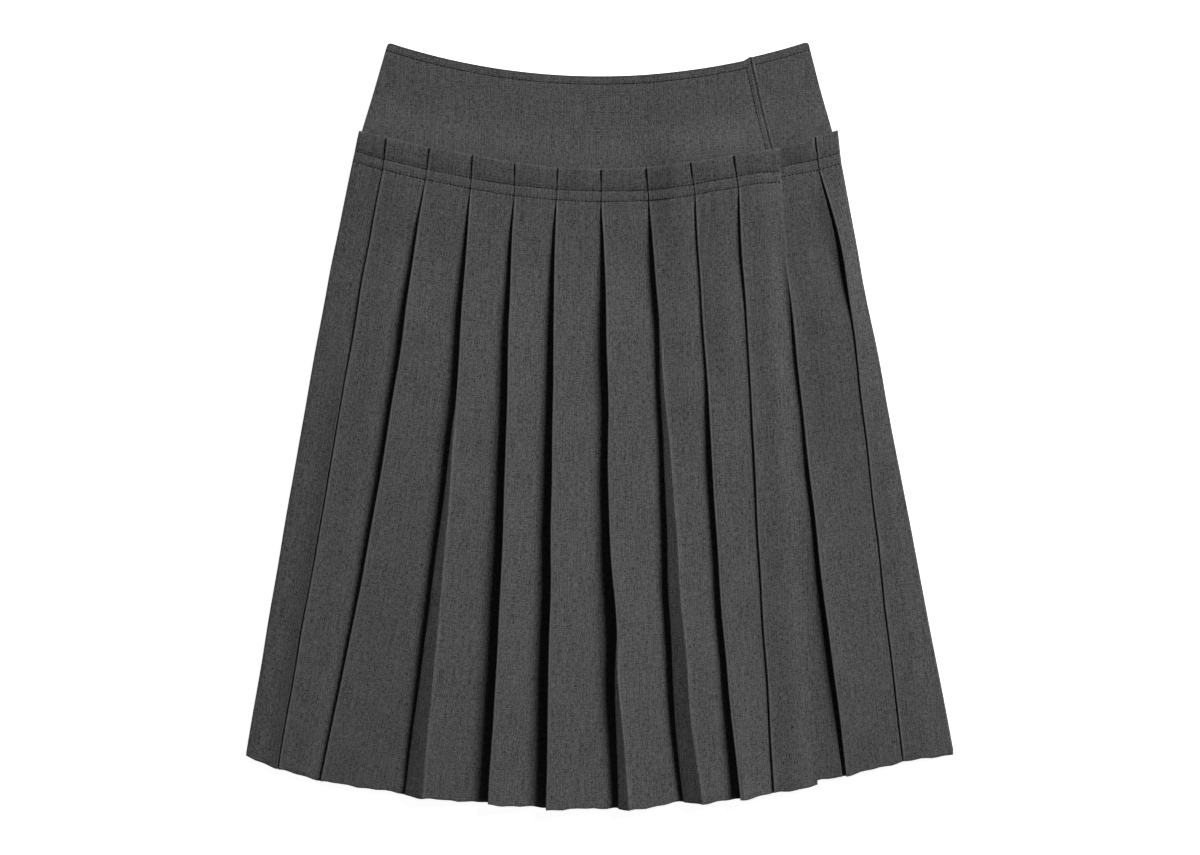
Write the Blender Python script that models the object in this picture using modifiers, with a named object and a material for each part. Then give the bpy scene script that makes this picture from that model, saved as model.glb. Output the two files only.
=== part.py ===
"""Pleated wrap midi skirt, laid flat with its front up.

The waist points along +Y, the hem along -Y, and the back rests on z = 0. Every piece of cloth is an
open surface through the middle of its wall, made solid by a Solidify modifier.
All sizes below are in millimetres; points are scaled to metres once, in add_sheet.
"""

import math
from collections import namedtuple

import bpy
import numpy as np

MM = 0.001
GARMENT = "pleated_wrap_midi_skirt"

# Walls and layers
PLEAT_WALL = 1.0
YOKE_WALL = 1.2
GAP = 0.3
FOLD_RADIUS = 0.75
LEVEL = 2 * FOLD_RADIUS
PLEAT_STACK = PLEAT_WALL + 2 * LEVEL
YOKE_STEP = YOKE_WALL + GAP
HEADER_STEP = PLEAT_STACK + GAP

# The yoke is a sector of a flat ring round a point above the waist.
RING_CENTRE_Y = 925.9
WAIST_RADIUS = 613.0
WRAP_WAIST_STEP = 1.8
WRAP_WAIST_X = 132.0
BACK_WAIST_DROP = 1.5
STITCH_RADIUS = 724.5
YOKE_TUCK = 10.0
YOKE_DRAPE = 42.0
WRAP_ANGLE = 12.95
HIDDEN_ANGLE = 6.5
LEFT_WAIST_X = -190.7
RIGHT_WAIST_X = 187.2
LEFT_INSET = 2.1
RIGHT_INSET = 4.0

# Rows of the pleated panels, as drops below the lower of the two stitch rows
HEADER_TOP = -27.5
UPPER_STITCH = -9.5
LOWER_STITCH = 0.0
BELOW_YOKE = 13.0
SETTLED = 65.0
SKIRT_DROP = 545.0
LOWER_SHARES = (0.18, 0.26, 0.40, 0.55, 0.70, 0.85, 1.0)
BACK_SHARES = (0.40, 1.0)

# Pleats
POCKET = 19.0
LAST_POCKET = 6.0
LIFT_POWER = 1.3
FACE_CLEARANCE = 3.0
POCKET_CLEARANCE = 2.5
HEADER_FLARE = 1.5
WRAP_RAMP = 40.0
WRAP_RAMP_END = 5.0
SIDE_ROLL = 1.5
BACK_PLEATS = 11
BACK_PITCH_ANGLE = 3.17
BACK_HEM_RISE = 2.5

# Steps of the surfaces
FOLD_STEPS = 3
BACK_FOLD_STEPS = 2
ROLL_STEPS = 2
YOKE_COLUMN = 18.0

CLOTH_COLOUR = (0.075, 0.075, 0.077, 1.0)
CLOTH_ROUGHNESS = 0.92

# One line down the cloth. top_x is where it starts at the header's top, stitch_x where it crosses the
# lower stitch row, hem_x and hem_y where it ends. bow is its sideways bend below the stitching, greatest
# at the share bow_at of its length.
Line = namedtuple("Line", "name top_x stitch_x hem_x hem_y bow bow_at")

# A pleat's folded edge is a line too. Its pocket is the depth of cloth behind the edge at the hem, and
# a pocket under 0 stands open and shows its side from the share opens on. lift raises the edge at the
# hem, starting at the share lift_from.
Fold = namedtuple("Fold", Line._fields + ("stitch_pocket", "pocket", "opens", "lift", "lift_from"))

LEFT_SIDE = Line("left_side", -216.3, -222.3, -318.1, -295.7, -3.2, 0.30)
RIGHT_SIDE = Line("right_side", 213.3, 216.8, 318.0, -294.2, 0.0, 0.50)
FREE_EDGE = Line("free_edge", 160.3, 162.6, 195.4, -318.7, 0.0, 0.50)
HIDDEN_EDGE = Line("hidden_edge", 81.0, 82.0, 118.0, -326.0, 0.0, 0.50)

FRONT_FOLDS = (
    Fold("c1", -191.0, -195.0, -288.7, -307.1, 0.0, 0.50, POCKET, 19.0, None, 1.0, 0.0),
    Fold("c2", -152.5, -157.0, -250.8, -318.5, 5.4, 0.50, POCKET, 19.0, None, 3.0, 0.0),
    Fold("c3", -113.8, -116.6, -158.9, -333.4, 2.8, 0.70, POCKET, -16.2, 0.36, 12.0, 0.0),
    Fold("c4", -76.0, -77.0, -100.0, -338.5, 1.8, 0.60, POCKET, 15.0, None, 11.0, 0.0),
    Fold("c5", -37.5, -39.2, -48.2, -341.3, -0.9, 0.50, POCKET, 14.0, None, 13.0, 0.0),
    Fold("c6", 1.6, 1.0, 25.0, -344.0, -5.4, 0.75, POCKET, -9.9, 0.82, 14.0, 0.0),
    Fold("c7", 41.6, 43.6, 91.8, -339.1, -2.7, 0.85, POCKET, -17.1, 0.20, 13.0, 0.0),
    Fold("c8", 81.2, 85.0, 125.6, -331.1, -5.4, 0.65, POCKET, 15.0, None, 11.0, 0.0),
    Fold("c9", 119.9, 123.8, 155.5, -326.7, 0.4, 0.30, POCKET, 19.0, None, 3.0, 0.0),
)

UNDER_FOLDS = (
    Fold("u1", 119.5, 123.0, 157.0, -320.0, 0.0, 0.50, POCKET, 19.0, None, 0.0, 0.0),
    Fold("u2", 156.0, 159.2, 220.6, -311.4, -3.6, 0.50, POCKET, 14.0, None, 10.0, 0.45),
    Fold("u3", 192.8, 196.4, 272.3, -300.6, 11.4, 0.20, LAST_POCKET, 17.0, None, 2.5, 0.10),
)

# A whole panel: the lines at its two ends, its folds, the rows it is drawn through and its heights.
# mirrored turns the panel over about +Y, so that its faces lie on the surface below.
Panel = namedtuple("Panel", "name start end folds drops base flare fold_steps mirrored")


def smooth(value):
    value = min(max(value, 0.0), 1.0)
    return value * value * (3.0 - 2.0 * value)


def blend(first, last, share):
    return first + (last - first) * share


def ring_y(x, radius):
    return RING_CENTRE_Y - math.sqrt(radius * radius - x * x)


# Lines down the cloth


def bow_shape(share, peak):
    """0 at both ends and 1 at the peak."""
    if share < peak:
        return math.sin(0.5 * math.pi * share / peak)
    return math.cos(0.5 * math.pi * (share - peak) / (1.0 - peak))


def line_x(line, drop):
    if drop <= 0.0:
        return blend(line.stitch_x, line.top_x, drop / HEADER_TOP)
    share = drop / SKIRT_DROP
    return blend(line.stitch_x, line.hem_x, share) + line.bow * bow_shape(share, line.bow_at)


def line_y(line, drop):
    if drop <= 0.0:
        return ring_y(line_x(line, drop), STITCH_RADIUS + drop)
    return blend(ring_y(line.stitch_x, STITCH_RADIUS), line.hem_y, drop / SKIRT_DROP)


def row_y(panel, xs, drop):
    """Along +Y, the height of one row of the panel at each x."""
    if drop <= 0.0:
        return np.array([ring_y(x, STITCH_RADIUS + drop) for x in xs])
    lines = (panel.start, *panel.folds, panel.end)
    return np.interp(xs, [line_x(a, drop) for a in lines], [line_y(a, drop) for a in lines])


def mirrored_line(line):
    hem_y = line.hem_y + BACK_HEM_RISE
    return Line(line.name, -line.top_x, -line.stitch_x, -line.hem_x, hem_y, -line.bow, line.bow_at)


# Heights of the layers


def wrap_share(x, drop):
    """0 where the front lies on the back, rising to 1 where the under-panel lies between them."""
    ramp_end = line_x(HIDDEN_EDGE, drop) - WRAP_RAMP_END
    return smooth((x - ramp_end + WRAP_RAMP) / WRAP_RAMP)


def yoke_share(drop):
    """1 where the yokes lie between the pleated panels, falling to 0 below them."""
    return min(max((SETTLED - drop) / (SETTLED - BELOW_YOKE), 0.0), 1.0)


def under_base(x, drop):
    return HEADER_STEP + 2.0 * YOKE_STEP * yoke_share(drop)


def front_base(x, drop):
    wrap_rise = HEADER_STEP + YOKE_STEP * yoke_share(drop)
    return under_base(x, drop) + wrap_rise * wrap_share(x, drop)


def back_base(x, drop):
    return 0.0


def level_height(level):
    return 0.5 * PLEAT_WALL + level * LEVEL


def right_level(drop):
    """Level of the last pleat at the right side seam: its top one at the stitching, its lowest at the hem."""
    return 2.0 * (1.0 - max(drop, 0.0) / SKIRT_DROP)


def seam_height(side, drop):
    """Height of the side seam, half way between the front's end and the back's."""
    level = right_level(drop) if side == "right_side" else 0.0
    front_end = under_base(0.0, drop) + level_height(level)
    return 0.5 * (front_end + 0.5 * PLEAT_WALL)


# Sections across a pleated panel


def tangent(centre, toward):
    """Heading of a line that leaves the clockwise circle at centre and passes through a point."""
    dx, dz = toward[0] - centre[0], toward[1] - centre[1]
    return math.atan2(dz, dx) - math.asin(FOLD_RADIUS / math.hypot(dx, dz))


def entry(point, centre):
    """Heading of a line from a point onto the anticlockwise circle at centre."""
    dx, dz = centre[0] - point[0], centre[1] - point[1]
    return math.atan2(dz, dx) - math.asin(FOLD_RADIUS / math.hypot(dx, dz))


def crossing(first, second):
    """Heading of the line from the anticlockwise circle first onto the clockwise circle second."""
    dx, dz = second[0] - first[0], second[1] - first[1]
    heading = math.atan2(dz, dx)
    return heading + math.asin(min(2.0 * FOLD_RADIUS / math.hypot(dx, dz), 1.0))


def turn(centre, start, end, steps, side):
    """Points round a fold, between two headings. side is -1 anticlockwise and 1 clockwise."""
    headings = [blend(start, end, i / steps) for i in range(steps + 1)]
    return [
        (centre[0] - side * FOLD_RADIUS * math.sin(a), centre[1] + side * FOLD_RADIUS * math.cos(a))
        for a in headings
    ]


def pocket_depth(fold, drop):
    share = max(drop, 0.0) / SKIRT_DROP
    if fold.opens is None:
        return blend(fold.stitch_pocket, fold.pocket, share)
    return float(np.interp(share, (0.0, fold.opens, 1.0), (fold.stitch_pocket, 0.0, fold.pocket)))


def lift_height(fold, drop):
    share = max(drop, 0.0) / SKIRT_DROP
    risen = max(share - fold.lift_from, 0.0) / (1.0 - fold.lift_from)
    return fold.lift * risen**LIFT_POWER


def fold_circles(fold, drop):
    """Centres of the folded edge and of the inner fold behind it."""
    reach = FOLD_RADIUS + 0.5 * PLEAT_WALL
    x = line_x(fold, drop)
    edge = (x + reach, level_height(1) + FOLD_RADIUS + lift_height(fold, drop))
    inner = (x + pocket_depth(fold, drop) - reach, level_height(0) + FOLD_RADIUS)
    return edge, inner


def start_roll(x, seam, level):
    """From the seam up round the side, to the level of the cloth beyond it."""
    wall_x = x + 0.5 * PLEAT_WALL
    points = [(wall_x, seam + 0.5 * GAP)]
    for i in range(ROLL_STEPS + 1):
        angle = 0.5 * math.pi * i / ROLL_STEPS
        rise = math.sin(angle) - 1.0
        points.append((wall_x + SIDE_ROLL * (1.0 - math.cos(angle)), level + SIDE_ROLL * rise))
    return points


def end_roll(x, seam, level):
    return [(-px, pz) for px, pz in reversed(start_roll(-x, seam, level))]


def section_ends(panel, drop):
    """The first and the last points of a section, in heights above the panel's own base."""
    start_x, end_x = line_x(panel.start, drop), line_x(panel.end, drop)
    base = panel.base(0.0, drop)
    if panel.mirrored:
        seams = [PLEAT_STACK - seam_height(line.name, drop) for line in (panel.start, panel.end)]
        top = level_height(2)
        return start_roll(start_x, seams[0], top), end_roll(end_x, seams[1], top)
    start = [(start_x, level_height(0))]
    end = [(end_x, level_height(0))]
    if panel.start.name == "left_side":
        start = start_roll(start_x, seam_height("left_side", drop) - base, level_height(0))
    if panel.end.name == "right_side":
        end = end_roll(end_x, seam_height("right_side", drop) - base, level_height(right_level(drop)))
    return start, end


def section(panel, drop):
    """Points through the middle of the wall, in one cut across the panel."""
    points, end = section_ends(panel, drop)
    circles = [fold_circles(fold, drop) for fold in panel.folds]
    foot_xs = [min(line_x(fold, drop), inner[0]) for fold, (edge, inner) in zip(panel.folds, circles)]
    feet = [(x - FACE_CLEARANCE, level_height(0)) for x in foot_xs]
    feet.append(end[0])
    for i, (edge, inner) in enumerate(circles):
        foot, next_foot = feet[i], feet[i + 1]
        reach = max(inner[0] + FOLD_RADIUS + 0.5 * PLEAT_WALL, edge[0]) + POCKET_CLEARANCE
        top = edge[1] + FOLD_RADIUS
        slope_height = blend(top, next_foot[1], (reach - edge[0]) / (next_foot[0] - edge[0]))
        shoulder = (reach, max(level_height(2), slope_height))
        across = crossing(inner, edge)
        points.append(foot)
        points += turn(inner, entry(foot, inner), across, panel.fold_steps, -1)
        points += turn(edge, across, tangent(edge, shoulder), panel.fold_steps, 1)
        points.append(shoulder)
    return points + end


def panel_rows(panel):
    """Rows of points in space, one for each drop."""
    rows = []
    for drop in panel.drops:
        flare = panel.flare if drop == HEADER_TOP else 0.0
        cut = section(panel, drop)
        ys = row_y(panel, [x for x, z in cut], drop)
        row = [(x, y, z + flare + panel.base(x, drop)) for (x, z), y in zip(cut, ys)]
        if panel.mirrored:
            row = [(-x, y, PLEAT_STACK - z) for x, y, z in row]
        rows.append(row)
    return rows


# The yokes


def yoke_rise(radius):
    """0 at the waist and 1 from the top of the header down."""
    header_top = STITCH_RADIUS + HEADER_TOP
    return smooth((radius - header_top + YOKE_DRAPE) / (YOKE_DRAPE - 2.0))


def yoke_height(layer, x, radius):
    """Middle of a yoke's wall: layer 0 is the back, 1 the under-panel's and 2 the over-panel's."""
    rise = yoke_rise(radius)
    height = 0.5 * YOKE_WALL + HEADER_STEP * rise
    if layer == 0:
        return height
    if layer == 1:
        return height + YOKE_STEP
    wrap = wrap_share(x, radius - STITCH_RADIUS)
    return height + YOKE_STEP + wrap * (YOKE_STEP + HEADER_STEP * rise)


def left_edge(radius):
    hip_x = line_x(LEFT_SIDE, max(radius - STITCH_RADIUS, HEADER_TOP)) + LEFT_INSET
    return blend(LEFT_WAIST_X, hip_x, waist_to_header(radius))


def right_edge(radius):
    hip_x = line_x(RIGHT_SIDE, max(radius - STITCH_RADIUS, HEADER_TOP)) - RIGHT_INSET
    return blend(RIGHT_WAIST_X, hip_x, waist_to_header(radius))


def wrap_edge(radius):
    return radius * math.sin(math.radians(WRAP_ANGLE))


def hidden_edge(radius):
    return radius * math.sin(math.radians(HIDDEN_ANGLE))


def waist_to_header(radius):
    return min((radius - WAIST_RADIUS) / (STITCH_RADIUS + HEADER_TOP - WAIST_RADIUS), 1.0)


def waist_offset(layer, x):
    """Added to the waist radius: it steps up beside the wrap edge, and the back's edge lies lower."""
    step = smooth((x - WRAP_WAIST_X + WRAP_WAIST_STEP) / (2.0 * WRAP_WAIST_STEP))
    drop = BACK_WAIST_DROP if layer == 0 else 0.0
    return drop - WRAP_WAIST_STEP * step


def yoke_rows(layer, start_edge, end_edge):
    """start_edge and end_edge give the x of the yoke's two sides at a radius."""
    header_top = STITCH_RADIUS + HEADER_TOP
    drape = [header_top - YOKE_DRAPE * share for share in (1.0, 0.75, 0.5, 0.25, 0.05)]
    lower = [*drape, header_top, STITCH_RADIUS, STITCH_RADIUS + YOKE_TUCK]
    columns = math.ceil((end_edge(STITCH_RADIUS) - start_edge(STITCH_RADIUS)) / YOKE_COLUMN)
    waist_xs = np.linspace(start_edge(WAIST_RADIUS), end_edge(WAIST_RADIUS), columns + 1)
    waist_radii = [WAIST_RADIUS + waist_offset(layer, x) for x in waist_xs]
    rows = [[(x, ring_y(x, r), yoke_height(layer, x, r)) for x, r in zip(waist_xs, waist_radii)]]
    for radius in lower:
        xs = np.linspace(start_edge(radius), end_edge(radius), columns + 1)
        rows.append([(x, ring_y(x, radius), yoke_height(layer, x, radius)) for x in xs])
    return rows


# Objects


def cloth_material(name):
    material = bpy.data.materials.new(name + "_cloth")
    material.use_nodes = True
    shader = material.node_tree.nodes["Principled BSDF"]
    shader.inputs["Base Color"].default_value = CLOTH_COLOUR
    shader.inputs["Roughness"].default_value = CLOTH_ROUGHNESS
    shader.inputs["Metallic"].default_value = 0.0
    return material


def add_sheet(collection, name, rows, wall):
    """A wall of cloth whose middle passes through rows of points."""
    width = len(rows[0])
    points = [(x * MM, y * MM, z * MM) for row in rows for x, y, z in row]
    faces = [
        (r * width + c, (r + 1) * width + c, (r + 1) * width + c + 1, r * width + c + 1)
        for r in range(len(rows) - 1)
        for c in range(width - 1)
    ]
    mesh = bpy.data.meshes.new(name)
    mesh.from_pydata(points, [], faces)
    mesh.materials.append(cloth_material(name))
    sheet = bpy.data.objects.new(name, mesh)
    collection.objects.link(sheet)
    solid = sheet.modifiers.new("Wall", "SOLIDIFY")
    solid.thickness = wall * MM
    solid.offset = 0.0
    solid.use_even_offset = True
    return sheet


def panel_drops(shares):
    upper = [HEADER_TOP, UPPER_STITCH, LOWER_STITCH, BELOW_YOKE, SETTLED]
    return upper + [share * SKIRT_DROP for share in shares]


def front_hem_y(x):
    """Where the front's hem lies, seen from above."""
    lines = (LEFT_SIDE, *FRONT_FOLDS, FREE_EDGE, *UNDER_FOLDS[1:], RIGHT_SIDE)
    return float(np.interp(x, [a.hem_x for a in lines], [a.hem_y for a in lines]))


def front_panel():
    drops = panel_drops(LOWER_SHARES)
    ends = (LEFT_SIDE, FREE_EDGE)
    return Panel("pleats_front", *ends, FRONT_FOLDS, drops, front_base, HEADER_FLARE, FOLD_STEPS, False)


def under_panel():
    drops = panel_drops(LOWER_SHARES)
    ends = (HIDDEN_EDGE, RIGHT_SIDE)
    return Panel("pleats_under", *ends, UNDER_FOLDS, drops, under_base, 0.0, FOLD_STEPS, False)


def back_panel():
    """Evenly pleated, and turned over so that its folded edges follow the front's round the body."""
    start, end = mirrored_line(RIGHT_SIDE), mirrored_line(LEFT_SIDE)
    first_angle = -0.5 * BACK_PITCH_ANGLE * (BACK_PLEATS - 1)
    folds = []
    for i in range(BACK_PLEATS):
        angle = math.radians(first_angle + i * BACK_PITCH_ANGLE)
        stitch_x = STITCH_RADIUS * math.sin(angle)
        share = (stitch_x - start.stitch_x) / (end.stitch_x - start.stitch_x)
        hem_x = blend(start.hem_x, end.hem_x, share)
        hem_y = front_hem_y(-hem_x) + BACK_HEM_RISE
        top_x = blend(start.top_x, end.top_x, share)
        line = (f"b{i + 1}", top_x, stitch_x, hem_x, hem_y, 0.0, 0.5)
        folds.append(Fold(*line, POCKET, POCKET, None, 0.0, 0.0))
    drops = panel_drops(BACK_SHARES)
    return Panel("pleats_back", start, end, folds, drops, back_base, 0.0, BACK_FOLD_STEPS, True)


def main():
    for old in list(bpy.data.objects):
        bpy.data.objects.remove(old, do_unlink=True)
    garment = bpy.data.collections.new(GARMENT)
    bpy.context.scene.collection.children.link(garment)

    for panel in (front_panel(), under_panel(), back_panel()):
        add_sheet(garment, panel.name, panel_rows(panel), PLEAT_WALL)

    add_sheet(garment, "yoke_back", yoke_rows(0, left_edge, right_edge), YOKE_WALL)
    add_sheet(garment, "yoke_under", yoke_rows(1, hidden_edge, right_edge), YOKE_WALL)
    add_sheet(garment, "yoke_front", yoke_rows(2, left_edge, wrap_edge), YOKE_WALL)


main()
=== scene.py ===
import math

import bpy
import numpy as np
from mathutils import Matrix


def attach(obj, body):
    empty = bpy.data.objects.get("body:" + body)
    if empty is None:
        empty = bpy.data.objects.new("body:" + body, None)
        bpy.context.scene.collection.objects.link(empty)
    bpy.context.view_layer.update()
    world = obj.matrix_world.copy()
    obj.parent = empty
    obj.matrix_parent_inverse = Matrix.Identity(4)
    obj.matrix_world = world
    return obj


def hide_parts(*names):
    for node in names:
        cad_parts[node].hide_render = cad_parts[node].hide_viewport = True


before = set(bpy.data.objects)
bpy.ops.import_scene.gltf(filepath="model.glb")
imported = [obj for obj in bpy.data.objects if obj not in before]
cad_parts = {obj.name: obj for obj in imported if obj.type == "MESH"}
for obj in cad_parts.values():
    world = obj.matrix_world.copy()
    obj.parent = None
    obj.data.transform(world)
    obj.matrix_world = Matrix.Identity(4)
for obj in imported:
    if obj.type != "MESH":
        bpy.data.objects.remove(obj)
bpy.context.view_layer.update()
print("frame loaded:", ", ".join(sorted(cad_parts)))

mm = 0.001  # the sizes below are in millimetres, and only the studio's in metres

# The yoke is a sector of a flat ring round a point above the waist, and drops are measured down the
# cloth from the lower of the two stitch rows that hold the pleats.
garment = {
    "ringCentreY": 925.9,
    "waistRadius": 612.0,
    "stitchRadius": 724.5,
    "headerTop": -27.5,
    "upperStitch": -9.5,
    "skirtDrop": 545.0,
    "pleatWall": 0.6,
    "yokeWall": 0.8,
    "layerStep": 1.5,  # one yoke to the next
    "stackStep": 4.3,  # one pleated panel to the next
    "belowYoke": 13.0,
    "settled": 65.0,
    "hiddenRamp": 40.0,
    "hiddenRampEnd": 5.0,
    "sharpAngle": 48.0,
}


def smooth(value):
    value = min(max(value, 0.0), 1.0)
    return value * value * (3.0 - 2.0 * value)


def blend(first, last, share):
    return first + (last - first) * share


def table(columns, rows):
    names = columns.split()
    return [dict(zip(names, row)) for row in rows]


# A rounded hump, 1 at no distance
def hump(distance, width):
    return math.exp(-((distance / width) ** 2))


def ringY(x, radius):
    return garment["ringCentreY"] - math.sqrt(radius * radius - x * x)


# A node with its settings, and its inputs as values or as the sockets that feed them
def addNode(tree, kind, inputs=None, **settings):
    node = tree.nodes.new(kind)
    for name, value in settings.items():
        setattr(node, name, value)
    for socket, given in (inputs or {}).items():
        if isinstance(given, bpy.types.NodeSocket):
            tree.links.new(given, node.inputs[socket])
        else:
            node.inputs[socket].default_value = given
    return node


def mathNode(tree, operation, *inputs, clamped=False):
    node = addNode(tree, "ShaderNodeMath", dict(enumerate(inputs)), operation=operation, use_clamp=clamped)
    return node.outputs["Value"]


def newObject(name, data):
    made = bpy.data.objects.new(name, data)
    bpy.context.scene.collection.objects.link(made)
    return made


def linear(hexColour):
    channels = [int(hexColour[i : i + 2], 16) / 255.0 for i in (1, 3, 5)]
    curve = [c / 12.92 if c <= 0.04045 else ((c + 0.055) / 1.055) ** 2.4 for c in channels]
    return (*curve, 1.0)


# Materials

wool = {
    "dark": "#0b0b0b",
    "light": "#5c5c5d",
    "threadPitch": 0.55,  # worsted suiting has 18 threads a centimetre
    # painted highlight: how much paler the folded edges are painted
    "edgeHighlightTone": 0.45,
    "weaveRelief": 0.35,
    "bump": 0.16,
}
# Slubs along warp and weft, streaks along both, flecks and faint clouds
fibres = table(
    "across along detail roughness weight",
    (
        (0.9, 4.5, 1.0, 0.5, 0.75),
        (4.5, 0.9, 1.0, 0.5, 0.65),
        (0.9, 30.0, 1.0, 0.5, 0.55),
        (30.0, 0.9, 1.0, 0.5, 0.28),
        (0.9, 0.9, 2.0, 0.7, 1.70),
        (55.0, 88.0, 2.0, 0.5, 0.08),
    ),
)


def newMaterial(name):
    material = bpy.data.materials.new(name)
    material.use_nodes = True
    material.node_tree.nodes.clear()
    return material


def dyed(tree, tone, dark, light):
    ends = {"Factor": tone, "A": linear(dark), "B": linear(light)}
    return addNode(tree, "ShaderNodeMix", ends, data_type="RGBA").outputs["Result"]


def surface(tree, inputs):
    shader = addNode(tree, "ShaderNodeBsdfPrincipled", inputs)
    addNode(tree, "ShaderNodeOutputMaterial", {"Surface": shader.outputs["BSDF"]})


# Worsted wool dyed in the fibre, so dark and pale fibres mix in each thread: the eye gets a matt charcoal
# with short pale and dark slubs along both thread directions.
def worstedWoolMelange():
    material = newMaterial("worstedWoolMelange")
    tree = material.node_tree
    along = addNode(tree, "ShaderNodeUVMap", uv_map="cloth").outputs["UV"]

    # painted highlight: the folded edges are painted a little paler, standing in for the light that catches
    # them
    edgeHighlight = addNode(tree, "ShaderNodeAttribute", attribute_name="edgeHighlight").outputs["Fac"]
    tone = mathNode(tree, "MULTIPLY", edgeHighlight, wool["edgeHighlightTone"])
    for fibre in fibres:
        scale = (1.0 / (fibre["across"] * mm), 1.0 / (fibre["along"] * mm), 1.0)
        stretch = addNode(tree, "ShaderNodeMapping", {"Vector": along, "Scale": scale}).outputs["Vector"]
        grain = {"Vector": stretch, "Scale": 1.0, "Detail": fibre["detail"], "Roughness": fibre["roughness"]}
        noise = addNode(tree, "ShaderNodeTexNoise", grain, noise_dimensions="2D")
        evened = mathNode(tree, "SUBTRACT", noise.outputs["Fac"], 0.5)
        tone = mathNode(tree, "MULTIPLY_ADD", evened, fibre["weight"], tone)
    tone = mathNode(tree, "ADD", tone, 0.5, clamped=True)
    colour = dyed(tree, tone, wool["dark"], wool["light"])

    # plain weave: threads over and under each other; a wave of scale 1 repeats every 0.314 m
    threads = []
    waveScale = 0.314 / (wool["threadPitch"] * mm)
    for direction in ("X", "Y"):
        bands = {"Vector": along, "Scale": waveScale, "Distortion": 0.6, "Detail": 1.0}
        wave = addNode(tree, "ShaderNodeTexWave", bands, bands_direction=direction, wave_profile="SIN")
        threads.append(wave.outputs["Fac"])
    weave = mathNode(tree, "MULTIPLY", *threads)
    relief = mathNode(tree, "MULTIPLY_ADD", weave, wool["weaveRelief"], tone)
    bump = addNode(tree, "ShaderNodeBump", {"Height": relief, "Strength": wool["bump"], "Distance": 0.6 * mm})
    roughness = addNode(tree, "ShaderNodeMapRange", {"Value": tone, "To Min": 0.93, "To Max": 0.80})
    looks = {"Base Color": colour, "Roughness": roughness.outputs["Result"], "Normal": bump.outputs["Normal"]}
    looks.update({"Metallic": 0.0, "IOR": 1.54, "Specular IOR Level": 0.25})
    looks.update({"Sheen Weight": 0.12, "Sheen Roughness": 0.55})
    surface(tree, looks)
    return material


# Spun polyester thread, dyed darker than the cloth: the eye gets thin dark dashes
def spunPolyesterThread():
    material = newMaterial("spunPolyesterThread")
    tree = material.node_tree
    place = addNode(tree, "ShaderNodeTexCoord").outputs["Object"]
    ply = addNode(tree, "ShaderNodeTexNoise", {"Vector": place, "Scale": 2200.0, "Detail": 1.0})
    looks = {"Base Color": dyed(tree, ply.outputs["Fac"], "#131314", "#272728"), "Roughness": 0.7}
    looks.update({"IOR": 1.5, "Specular IOR Level": 0.3, "Sheen Weight": 0.05})
    surface(tree, looks)
    return material


# Lines down the pleated panels

lineColumns = "name topX stitchX hemX hemY bow bowAt"
sideLines = table(
    lineColumns,
    (
        ("leftSide", -216.3, -222.3, -318.1, -297.2, -3.2, 0.30),
        ("rightSide", 213.3, 216.8, 318.0, -295.4, 0.0, 0.50),
        ("freeEdge", 160.3, 162.6, 195.4, -323.2, 0.0, 0.50),
        ("hiddenEdge", 81.0, 82.0, 118.0, -326.0, 0.0, 0.50),
    ),
)
leftSide, rightSide, freeEdge, hiddenEdge = sideLines

# topX, stitchX and hemX: where an edge crosses the header's top, the stitches and the hem, with a bow in
# between that is deepest at bowAt. stitchPocket and pocket: depth of cloth behind the edge at the stitches
# and at the hem. strip: width at the hem of the side that a pleat shows from the share opens on, slope how
# steeply it falls, and valleyY where its lower edge meets the hem.
foldColumns = lineColumns + " stitchPocket pocket strip opens valleyY slope headerLift"
frontFolds = table(
    foldColumns,
    (
        ("c1", -191.0, -195.0, -288.7, -308.6, 0.0, 0.50, 19, 19, 0, 1, 0, 0, 0.3),
        ("c2", -152.5, -157.0, -250.8, -319.2, 5.4, 0.50, 19, 19, 0, 1, 0, 0, 0.7),
        ("c3", -113.8, -116.6, -158.9, -334.2, 2.8, 0.70, 19, 15, 16.2, 0.36, -331.2, 0.45, 0.4),
        ("c4", -76.0, -77.0, -100.0, -339.2, 1.8, 0.60, 19, 15, 0, 1, 0, 0, 0.2),
        ("c5", -37.5, -39.2, -48.2, -343.6, -0.9, 0.50, 19, 14, 0, 1, 0, 0, 0.2),
        ("c6", 1.6, 1.0, 25.0, -344.9, -5.4, 0.75, 19, 14, 9.9, 0.72, -343.8, 0.42, 0.3),
        ("c7", 41.6, 43.6, 91.8, -338.6, -2.7, 0.85, 19, 15, 17.1, 0.20, -338.0, 0.34, 0.5),
        ("c8", 81.2, 85.0, 125.6, -334.8, -5.4, 0.65, 19, 15, 0, 1, 0, 0, 0.4),
        ("c9", 119.9, 123.8, 155.5, -329.8, 0.4, 0.30, 19, 19, 0, 1, 0, 0, 0.3),
    ),
)
underFolds = table(
    foldColumns,
    (
        ("u1", 119.5, 123.0, 157.0, -326.0, 0.0, 0.50, 19, 19, 0, 1, 0, 0, 0.0),
        ("u2", 156.0, 159.2, 220.6, -314.6, -3.6, 0.50, 19, 14, 0, 1, 0, 0, 0.0),
        ("u3", 192.8, 196.4, 272.3, -302.0, 11.4, 0.20, 6, 17, 0, 1, 0, 0, 0.3),
    ),
)

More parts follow.
